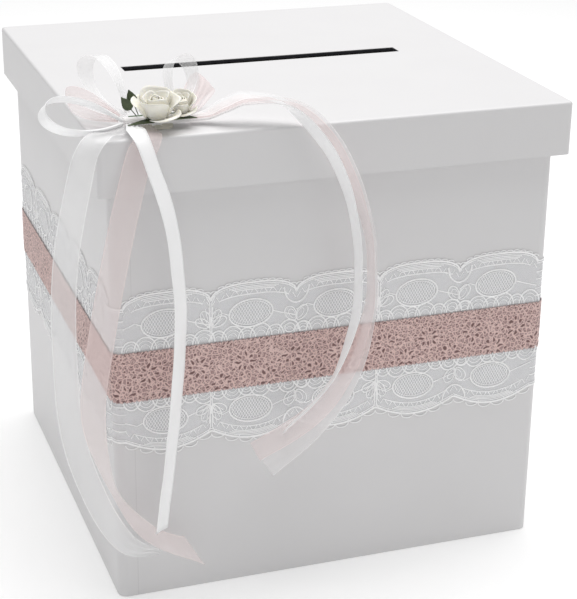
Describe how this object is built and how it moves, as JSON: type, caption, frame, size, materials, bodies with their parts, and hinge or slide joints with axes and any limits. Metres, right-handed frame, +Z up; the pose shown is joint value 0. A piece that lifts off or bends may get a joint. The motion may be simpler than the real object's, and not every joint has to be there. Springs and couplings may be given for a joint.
{
  "type": "wedding card box",
  "caption": "Square white card box with a slotted lift-off lid, lace bands round the base and a ribbon bow with paper roses on the lid.",
  "frame": {"origin": "middle of the face that the box stands on", "axes": "+Z up, the front wall at -Y, the bow near the lid's front left corner at -X -Y"},
  "size_m": [0.2629, 0.2588, 0.2731],
  "materials": {
    "grey_board": "matte",
    "white_paper": "satin",
    "clear_tape": "satin",
    "white_lace": "matte",
    "rose_lace": "matte",
    "glue": "satin",
    "satin_ribbon": "satin",
    "white_organza": "sheer",
    "pink_organza": "sheer",
    "rose_paper": "matte",
    "leaf_green": "matte",
    "stem_wire": "matte"
  },
  "bodies": {
    "base": {"base_front_board": "grey_board", "base_back_board": "grey_board", "base_left_board": "grey_board", "base_right_board": "grey_board", "base_bottom_board": "grey_board", "base_wrap": "white_paper", "base_floor_liner": "white_paper", "base_under_sheet": "white_paper", "base_corner_stays": "white_paper", "band_tape": "clear_tape", "white_lace_band": "white_lace", "rose_lace_band": "rose_lace"},
    "lid": {"lid_top_board": "grey_board", "lid_front_rim": "grey_board", "lid_back_rim": "grey_board", "lid_left_rim": "grey_board", "lid_right_rim": "grey_board", "lid_front_doubler": "grey_board", "lid_back_doubler": "grey_board", "lid_left_doubler": "grey_board", "lid_right_doubler": "grey_board", "lid_wrap": "white_paper", "lid_liner": "white_paper", "bow_glue_pad": "glue", "bow_gather": "white_organza", "bow_binding": "satin_ribbon", "rose_stems": "stem_wire", "satin_left_loop": "satin_ribbon", "satin_front_tail": "satin_ribbon", "satin_right_tail": "satin_ribbon", "organza_left_loop": "white_organza", "organza_right_loop": "white_organza", "organza_left_tail": "white_organza", "organza_right_tail": "white_organza", "pink_left_loop": "pink_organza", "pink_right_loop": "pink_organza", "pink_front_tail": "pink_organza", "pink_right_tail": "pink_organza", "front_rose_bud": "rose_paper", "front_rose_inner_petals": "rose_paper", "front_rose_outer_petals": "rose_paper", "front_rose_calyx": "leaf_green", "back_rose_bud": "rose_paper", "back_rose_inner_petals": "rose_paper", "back_rose_outer_petals": "rose_paper", "back_rose_calyx": "leaf_green", "left_leaf": "leaf_green", "upper_leaf": "leaf_green", "front_leaf": "leaf_green", "right_leaf": "leaf_green"}
  },
  "joints": [
    {"name": "lid_lift", "type": "slide", "parent": "base", "child": "lid", "axis": [0, 0, 1], "range_m": [0, 0.25]}
  ]
}
